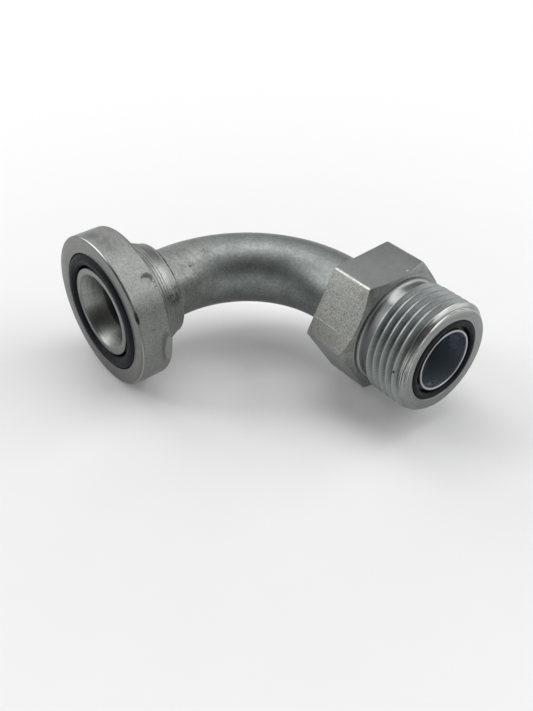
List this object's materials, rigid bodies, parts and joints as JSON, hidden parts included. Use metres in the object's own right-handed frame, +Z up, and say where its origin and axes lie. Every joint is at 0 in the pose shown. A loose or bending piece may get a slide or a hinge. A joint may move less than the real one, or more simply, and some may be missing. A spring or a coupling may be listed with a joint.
{
  "type": "hydraulic elbow adapter",
  "caption": "Bent steel tube elbow with a hydraulic flange head and O-ring at one end and a male threaded hex end with a face-seal O-ring at the other.",
  "frame": {"origin": "bottom centre of the part's bounding box", "axes": "-Y out of the flange face, +X out of the threaded face, +Z up, square to the plane of the bend"},
  "size_m": [0.0902, 0.0734, 0.0413],
  "materials": {
    "flange_zinc": "zinc plated, turned, with a few handling dents",
    "tube_zinc": "zinc plated drawn tube, softly mottled",
    "end_zinc": "zinc plated, drawn hex bar, turned thread",
    "nitrile": "matt black nitrile rubber"
  },
  "bodies": {
    "root": {"flange_head": "flange_zinc", "flange_seal": "nitrile", "elbow_tube": "tube_zinc", "face_seal_end": "end_zinc", "face_seal": "nitrile"}
  },
  "joints": []
}
